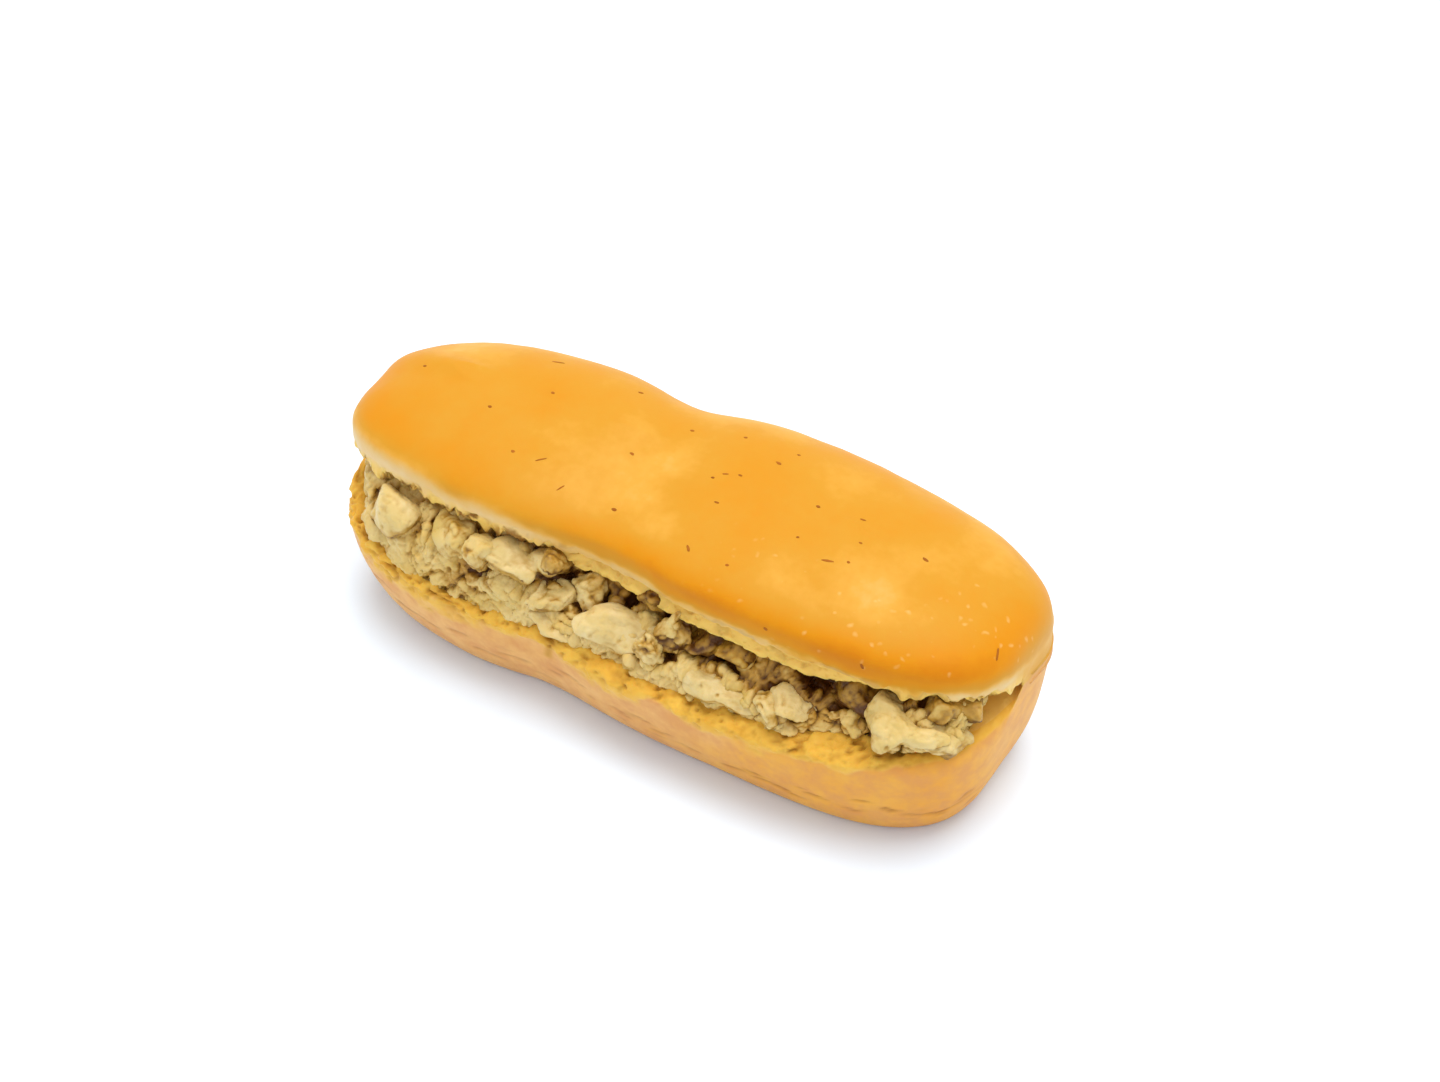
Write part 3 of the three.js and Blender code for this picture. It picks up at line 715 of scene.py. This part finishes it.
# Each piece is one lump or a few fused ones: offset from the solid's centre, size along, deep and
# high, its turn, lean and roll, how many cut planes it has and how ragged it is. Then follow the
# whole piece's curd, its coating, and how much painted shade darkens it deep under the crown.
CHICKEN = {
    "01": ([(2.0, 1.0, -1.0, 7, 7, 7, -50, 10, 0, 9, 0.12)], 0.5, 0.9, 0.0),
    "02": ([(-1.6, -1.8, -1.8, 14, 11, 12, -5, 12, -14, 7, 0.04),
            (-2.5, -0.5, -4.2, 7, 7, 7, 10, 0, 20, 8, 0.08)], 0.22, 0.25, 0.0),
    "03": ([(0, 0, 0, 9, 8, 5.5, -20, 0, 10, 9, 0.15)], 0.6, 0.35, 0.1),
    "04": ([(-0.8, -0.4, 0.8, 8.5, 9, 9.5, 15, -10, 15, 8, 0.1),
            (2.4, -0.8, 0.2, 5.5, 8, 9.5, 5, 0, -15, 8, 0.1)], 0.5, 0.6, 0.15),
    "05": ([(-0.6, -1.8, 0.4, 5.5, 8, 12, 5, 5, 4, 7, 0.1)], 0.4, 0.4, 0.08),
    "06": ([(0.2, -1.4, 0.2, 13.5, 9.5, 7.5, 20, 20, 4, 6, 0.05),
            (6, 0.4, 1.4, 8, 6, 4, 26, 0, -6, 8, 0.1)], 0.2, 0.2, 0.0),
    "07": ([(0, -0.3, 0, 10.5, 8, 7, -15, 0, 12, 9, 0.16)], 0.8, 0.4, 0.15),
    "08": ([(0, 0, 0, 6, 8, 6, 10, 0, 0, 8, 0.12)], 0.5, 0.5, 0.5),
    "09": ([(0, 0, 0, 9.5, 8, 8, 30, 10, -10, 9, 0.14)], 0.6, 0.3, 0.12),
    "10": ([(0, -0.8, 0.6, 9.5, 6.5, 2.0, -10, 24, 24, 8, 0.1),
            (-3.4, 0, 1.4, 5.5, 5, 3, 0, 10, 10, 8, 0.1)], 0.15, 0.15, 0.0),
    "11": ([(0, 0, 0, 8, 8, 8, -10, 0, 0, 9, 0.14)], 0.7, 0.35, 0.4),
    "12": ([(-0.4, -1.6, -0.2, 17, 9.5, 7.5, 10, 30, 6, 7, 0.04),
            (6.6, -0.4, -3.6, 8, 7, 5.5, 0, 10, 10, 9, 0.1)], 0.14, 0.0, 0.0),
    "13": ([(0, 0, 0, 8, 8, 6, 25, 0, 0, 8, 0.12)], 0.5, 0.9, 0.8),
    "14": ([(0, -0.4, 0, 7.5, 8, 7.5, -20, 0, 10, 10, 0.18)], 0.9, 0.2, 0.3),
    "15": ([(0, 0, 0, 6.5, 7, 7.5, 0, 0, 0, 10, 0.18)], 0.9, 0.3, 0.55),
    "16": ([(0, 0, 0, 9, 9, 7.5, 15, 0, 0, 8, 0.1)], 0.4, 0.95, 0.8),
    "17": ([(1.0, -1.2, -1.2, 19.5, 6.5, 3.8, 4, 20, 3, 9, 0.08),
            (-6, -0.4, -0.2, 9, 6, 4.5, 10, 10, 0, 9, 0.1)], 0.2, 0.0, 0.0),
    "18": ([(0, 0.4, 0, 8.5, 7, 5, -12, 10, 0, 7, 0.08)], 0.5, 0.9, 0.8),
    "19": ([(0, -0.3, 0, 8.5, 8, 6.5, 20, 0, 0, 10, 0.16)], 0.8, 0.3, 0.35),
    "20": ([(-2.0, -2.6, -3.4, 7.5, 6.5, 6.0, -15, 15, -14, 7, 0.08),
            (1.0, -0.8, -3.4, 8, 6, 3, -10, 10, 12, 8, 0.1)], 0.4, 0.1, 0.0),
    "21": ([(0, 0, 0, 13, 10, 10, 12, 0, 0, 9, 0.12)], 0.5, 0.9, 0.9),
    "22": ([(-0.4, -1.2, -0.8, 12, 9, 7.0, 18, 15, 0, 7, 0.1),
            (5.4, -0.8, -0.2, 11, 6.5, 4.2, 24, 10, 0, 8, 0.16),
            (-2.0, 0.6, 1.8, 8, 8, 5, 10, 0, 0, 8, 0.1)], 0.45, 0.35, 0.0),
    "23": ([(0, -0.6, 0.6, 9.5, 6, 4, 40, 12, 10, 9, 0.2),
            (2.2, -1.6, -1.2, 3.6, 3.4, 5, 30, 30, 0, 8, 0.2)], 0.35, 0.1, 0.15),
    "24": ([(0, 0, 0, 8, 8, 6.5, 30, 0, 0, 8, 0.1)], 0.4, 0.6, 0.6),
    "25": ([(0, 0, 0, 7, 7, 5.5, 45, 0, 0, 8, 0.12)], 0.4, 0.5, 0.55),
}


def make_meat(number, parts, curd, coat, shade, seed):
    """Fuses the lumps of one piece, bends its skin with a slow noise, then moves it along its normals:
    point + normal * (curds of clinging dressing - fibres along the grain + roughness - pits)."""
    name = "chicken_piece_" + number
    low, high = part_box(name)
    centre = (np.array(low) + np.array(high)) / 2 / MM
    shapes, every, count = [], [], 0
    for part, (x, y, z, along, deep, tall, turn, lean, roll, facets, ragged) in enumerate(parts):
        points, faces = chopped((along, deep, tall), turn, lean, roll, seed + 40 * part, facets, ragged)
        shapes.append(points + centre + np.array([x, y, z]))
        every.append(faces + count)
        count += len(points)
    piece = mesh_piece("chicken_" + number, np.concatenate(shapes), np.concatenate(every).tolist())
    points, normal = fuse(piece, MEAT_VOXEL, 3)
    bend = np.stack([noise(points, 4.6, seed + 20 + k) for k in range(3)], -1)
    points = points + (0.7 + 0.8 * curd) * bend
    fibre = np.abs(noise(points * np.array([0.25, 1, 0.7]), 0.9, seed + 5))
    lift = 1.1 * curd * (curds(points, 2.4, seed + 9) - 0.5) - 0.14 * fibre
    lift += (0.1 + 0.3 * curd) * rough(points, 3.0, seed + 12, 4)
    lift -= 0.35 * smooth(noise(points @ TWIST, 1.6, seed + 15) * 2.4 - 1.2)
    # Painted shade: darker in dips of the skin, on faces turned down, and by shade deep under the
    # crown.
    set_skin(piece, points + normal * lift[:, None], {
        "painted_shade_and_drip": np.clip(shade - 1.3 * lift - 0.05 + 0.8 * np.clip(0.15 - normal[:, 2], 0, 1), 0, 1),
        "coat": np.clip(coat + 0.25 * noise(points, 3.5, seed + 3), 0, 1)})
    piece.data.materials.append(chicken_finish)
    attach(piece, "root")
    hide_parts(name)


for place, (number, (parts, curd, coat, shade)) in enumerate(CHICKEN.items()):
    make_meat(number, parts, curd, coat, shade, 101 + place)


# ----------------------------------------------------------
# The dressing bed. Thick creamy dressing full of fine shreds and crumbs of meat, spooned into the slit
# before it is closed. It is one sticky mass that fills the slit and holds the pieces.
# ----------------------------------------------------------
BED_START, BED_STOP = 198.5, 331.0
BED_COLUMNS, BED_ROWS = 760, 60
# Holes in the front of the mass: bearing, height in the slit, radius and depth.
PITS = [(259, 0.7, 2.6, 5.0), (269, 0.62, 1.3, 3.5), (252, 0.2, 1.0, 3.0), (243.6, 0.6, 1.4, 3.0),
        (275, 0.62, 1.6, 3.0), (285, 0.62, 1.8, 4.5), (299.5, 0.62, 3.2, 4.5), (303.5, 0.45, 1.6, 3.5),
        (233.5, 0.7, 1.4, 3.0), (309, 0.2, 2.0, 2.0)]


def under_crown(bearing):
    """1 along the right half of the mouth, where the mass lies deep under the crown."""
    return smooth((bearing - 256) / 8) * smooth((316 - bearing) / 6)


def recess(bearing, height):
    """How far, in millimetres, the front of the mass lies behind the mouth: a little everywhere, more
    at its foot, its top and under the crown, and most at the two tips of the slit."""
    upper = smooth((height - 0.3) / 0.4)
    right = smooth((bearing - 256) / 10)
    hollow_place = smooth((bearing - 298) / 5) * smooth((314 - bearing) / 4) * (0.5 + 0.5 * upper)
    end = 4.4 * smooth((226 - bearing) / 14)
    tip = 14 * (smooth((209 - bearing) / 10.5) + smooth((bearing - 326) / 5))
    foot = 1.0 * smooth((0.22 - height) / 0.2)
    top = 3.6 * smooth((height - 0.7) / 0.22)
    under = 5.0 * upper * under_crown(bearing)
    return 1.2 + foot + top + 1.4 * right + under + 6.0 * hollow_place + end + tip


def grid_normals(grid):
    """Outward direction at each point of a grid: the step along the roll crossed with the step round
    its section."""
    normal = np.cross(np.gradient(grid, axis=1), np.gradient(grid, axis=0))
    return normal / (np.linalg.norm(normal, axis=-1, keepdims=True) + 1e-9)


def make_bed():
    """A closed tube: at each bearing its section runs from deep in the slit forward along the heel's
    cut face, up the front of the mass and back along the crown's cut face. Pits and a moat round each
    piece of chicken are sunk into its front, which is then moved along its normals three times:
    clumps, then lumps, then crumbs, each finer and lower than the last."""
    bearing = np.linspace(BED_START, BED_STOP, BED_COLUMNS)
    mouth_low, mouth_high = heel_rim(bearing), crown_edge(bearing)
    root = slit_root(bearing)
    run = np.linalg.norm((root - mix(mouth_low, mouth_high, 0.5))[:, :2], axis=1)
    back = np.full(BED_COLUMNS, 0.72)

    def place(share, height):
        return mix(cut_face(bearing, share, -1), cut_face(bearing, share, 1), height)

    rows = []
    for t in np.linspace(0, 1, 9)[:-1]:
        rows.append(place(mix(back, np.minimum(back, recess(bearing, 0) / run), t), -0.03))
    for height in np.linspace(0, 1, BED_ROWS):
        bulge = 0.9 * np.sin(np.pi * height)
        rows.append(place(np.minimum(back, (recess(bearing, height) - bulge).clip(0.4) / run),
                          mix(-0.03, 1.0, height)))
    for t in np.linspace(0, 1, 9)[1:]:
        rows.append(place(mix(np.minimum(back, recess(bearing, 1) / run), back, t), 1.0))
    grid = np.stack(rows)
    front = np.zeros(grid.shape[:2])
    front[7:-7] = 1
    sunk = np.zeros(grid.shape[:2])
    normal = grid_normals(grid)
    for at, height, size, depth in PITS:
        centre = grid[8 + int(height * (BED_ROWS - 1)), np.argmin(np.abs(bearing - at))]
        sunk += depth * np.exp(-((np.linalg.norm(grid - centre, axis=-1) / size) ** 2))
    for number, (parts, _, _, _) in CHICKEN.items():
        box = np.array(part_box("chicken_piece_" + number)) / MM
        centre, size = box.mean(axis=0) + np.array(parts[0][:3]), np.array(parts[0][3:6])
        gap = (np.linalg.norm((grid - centre) / size * 2, axis=-1) - 1) * size.mean() / 2
        moat = smooth(0.6 + 1.6 * noise(grid.reshape(-1, 3), 5.0, 83)).reshape(gap.shape)
        sunk += 1.5 * moat * np.exp(-(((gap - 0.2) / 1.0) ** 2))
    grid = grid - normal * (sunk * front)[..., None]
    for size, amount, seed in ((6.0, 3.6, 71), (2.6, 1.2, 73), (1.1, 0.3, 75)):
        normal = grid_normals(grid)
        lift = (curds(grid.reshape(-1, 3), size, seed) - 0.62).reshape(front.shape) * front * amount
        sunk -= lift
        grid = grid + normal * lift[..., None]
    # Painted shade: darker where sunk, on faces turned down, high under the crown, at the right; less
    # at the left end.
    under = np.clip(0.1 - grid_normals(grid)[..., 2], 0, 1)
    right = smooth((bearing - 294) / 8) * smooth((318 - bearing) / 6)
    high = smooth((np.arange(len(rows)) - 8 - 0.3 * BED_ROWS) / (0.4 * BED_ROWS))
    painted_shade_and_drip = 0.6 * sunk + 0.6 * under + 0.85 * high[:, None] * under_crown(bearing) + 0.42 * right
    painted_shade_and_drip *= 1 - 0.3 * smooth((250 - bearing) / 20)
    painted_shade_and_drip = np.clip(painted_shade_and_drip, 0, 1) * front
    index = np.arange(len(rows) * BED_COLUMNS).reshape(len(rows), BED_COLUMNS)
    a, b = index[:, :-1], index[:, 1:]
    c, d = np.roll(index, -1, axis=0)[:, 1:], np.roll(index, -1, axis=0)[:, :-1]
    faces = np.stack([a, b, c, d], -1).reshape(-1, 4).tolist()
    faces += [index[:, 0].tolist(), index[::-1, -1].tolist()]
    flat = grid.reshape(-1, 3)
    corner = np.tile(smooth((214 - bearing) / 10), len(rows))
    coat = np.clip(0.35 + 0.4 * noise(flat, 5.0, 81) + 0.8 * corner, 0, 1)
    piece = mesh_piece("dressing_bed", flat, faces)
    set_skin(piece, flat, {"painted_shade_and_drip": painted_shade_and_drip.ravel(), "coat": coat})
    return piece


dressing_bed = make_bed()
dressing_bed.data.materials.append(make_filling_finish(
    "dressing", linear(228, 201, 138), linear(213, 178, 99), (0.13, 0.055, 0.008, 1),
    linear(198, 162, 70)))
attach(dressing_bed, "root")
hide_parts("filling_bed")


# ----------------------------------------------------------
# The burnt specks. Tiny dark flakes of flour and crust that stuck to the dough in the oven and lie
# scattered over the crown.
# ----------------------------------------------------------
# Each speck: place on the plan, length, width and turn in degrees.
SPECKS = [
    (-43.2, 15.8, 2.6, 0.6, 20), (-67.1, 0.7, 1.0, 0.6, 0), (-36.9, 5.4, 0.9, 0.7, 0),
    (-22.9, 17.0, 1.3, 0.8, 30), (-46.2, -4.5, 0.9, 0.7, 0), (-13.2, -0.7, 1.0, 0.7, 0),
    (-28.8, -12.7, 2.4, 0.35, 45), (-34.5, -13.6, 1.0, 0.7, 0), (-20.9, -16.5, 2.0, 0.35, 70),
    (-6.8, 12.7, 1.0, 0.7, 0), (5.3, 14.7, 0.9, 0.7, 0), (15.6, 10.4, 1.6, 0.7, -20),
    (17.0, 15.0, 0.8, 0.6, 0), (7.5, 2.1, 1.4, 0.5, 20), (9.9, 3.8, 0.9, 0.6, 0),
    (5.3, 0.5, 0.8, 0.6, 0), (10.0, -5.5, 1.2, 0.5, 0), (-9.0, -15.6, 1.2, 0.8, 0),
    (28.4, 2.7, 1.0, 0.7, 0), (38.1, 4.1, 1.3, 0.5, 0), (38.3, -9.6, 2.8, 0.6, 15),
    (41.9, -7.8, 0.8, 0.6, 0), (54.7, 0.8, 1.5, 0.7, -20), (11.4, -18.8, 1.8, 0.6, -50),
    (19.6, -19.6, 0.8, 0.6, 0), (29.0, -7.1, 0.7, 0.6, 0), (41.1, -2.4, 0.8, 0.5, 0),
    (76.2, -9.9, 3.0, 0.5, -60), (54.6, -25.9, 1.3, 0.7, 0), (33.6, -26.8, 1.0, 0.7, 0),
]


def make_specks():
    """Flat ovals lying on the crown, each turned to the surface's slope where it lies."""
    points = np.empty(len(bread.data.vertices) * 3)
    normal = np.empty(len(bread.data.vertices) * 3)
    bread.data.vertices.foreach_get("co", points)
    bread.data.vertices.foreach_get("normal", normal)
    points, normal = points.reshape(-1, 3) / MM, normal.reshape(-1, 3)
    crown = (normal[:, 2] > 0.05) & (points[:, 2] > 38)
    points, normal = points[crown], normal[crown]
    directions, faces = ball(2)
    shapes = []
    for number, (x, y, length, width, turn) in enumerate(SPECKS):
        near = np.argmin((points[:, 0] - x) ** 2 + (points[:, 1] - y) ** 2)
        up = normal[near]
        side = np.cross(up, [0, 1, 0])
        side /= np.linalg.norm(side)
        ahead = np.cross(up, side)
        edge = 1 + 0.25 * rough(directions + number, 0.8, number, 2)
        flat = directions * edge[:, None] * np.array([length, width, 0.16]) / 2
        flat = turned(flat, turn, 0)
        shapes.append(points[near] + flat @ np.array([side, ahead, up]))
    every = (faces[None] + len(directions) * np.arange(len(SPECKS))[:, None, None]).reshape(-1, 3)
    return mesh_piece("crust_specks", np.concatenate(shapes), every.tolist())


def make_speck_finish():
    """Dark brown, lighter in places."""
    s = Shader("burnt_speck")
    patches = s.group(mottle_group, Coarse=400.0, Fine=1500.0, Contrast=1.5).outputs["Mask"]
    return s.finish(s.blend(patches, linear(178, 104, 30), linear(132, 72, 18)), 0.7, 0.1)


specks = make_specks()
specks.data.materials.append(make_speck_finish())
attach(specks, "root")


# ----------------------------------------------------------
# The table, the light and the camera. A plain cool-white top that glows a faint blue, as painted
# light against the warm light the roll throws on it, under a broad soft lamp that stands a little
# behind and to the right, in an even white room.
# ----------------------------------------------------------
def make_floor():
    """A square, centred under the roll."""
    size = 3.0
    mesh = bpy.data.meshes.new("floor")
    mesh.from_pydata([(-size, -size, 0), (size, -size, 0), (size, size, 0), (-size, size, 0)], [],
                     [(0, 1, 2, 3)])
    floor = bpy.data.objects.new("floor", mesh)
    bpy.context.collection.objects.link(floor)
    s = Shader("floor")
    s.surface.inputs["Base Color"].default_value = (0.80, 0.89, 0.97, 1)
    # Painted light: the floor glows a faint blue, though it is no lamp, against the roll's warm bounce.
    s.surface.inputs["Emission Color"].default_value = (0.1, 0.3, 1.0, 1)
    s.surface.inputs["Emission Strength"].default_value = 0.04
    s.surface.inputs["Roughness"].default_value = 0.9
    s.surface.inputs["Specular IOR Level"].default_value = 0.1
    mesh.materials.append(s.material)
    return floor


def make_sun(name, strength, spread, azimuth, elevation):
    """A soft lamp far away, seen from the object at that azimuth (from +X towards +Y) and elevation."""
    lamp = bpy.data.lights.new(name, "SUN")
    lamp.energy = strength
    lamp.angle = np.radians(spread)
    holder = bpy.data.objects.new(name, lamp)
    holder.rotation_euler = (0, np.radians(90 - elevation), np.radians(azimuth))
    bpy.context.collection.objects.link(holder)


def make_camera(azimuth, elevation, distance, target, lens):
    """Looks at target; azimuth 0 looks along +Y, and elevation is above the horizon, in degrees."""
    a, e = np.radians(azimuth), np.radians(elevation)
    back = np.array([np.sin(a) * np.cos(e), -np.cos(a) * np.cos(e), np.sin(e)])
    data = bpy.data.cameras.new("camera")
    data.lens = lens
    data.sensor_width = 36
    data.clip_start = 0.01
    camera = bpy.data.objects.new("camera", data)
    camera.location = np.array(target) + back * distance
    camera.rotation_euler = (np.pi / 2 - e, 0, a)
    bpy.context.collection.objects.link(camera)
    bpy.context.scene.camera = camera


floor = make_floor()
make_sun("lamp", 2.1, 42, 80, 80)
world = bpy.data.worlds.new("room")
world.use_nodes = True
world.node_tree.nodes["Background"].inputs["Color"].default_value = (1, 1, 1, 1)
world.node_tree.nodes["Background"].inputs["Strength"].default_value = 0.95
bpy.context.scene.world = world
bpy.context.scene.view_settings.view_transform = "Standard"
make_camera(30.43, 43.59, 0.6089, (0.00119, 0.01023, 0.025), 70.5)
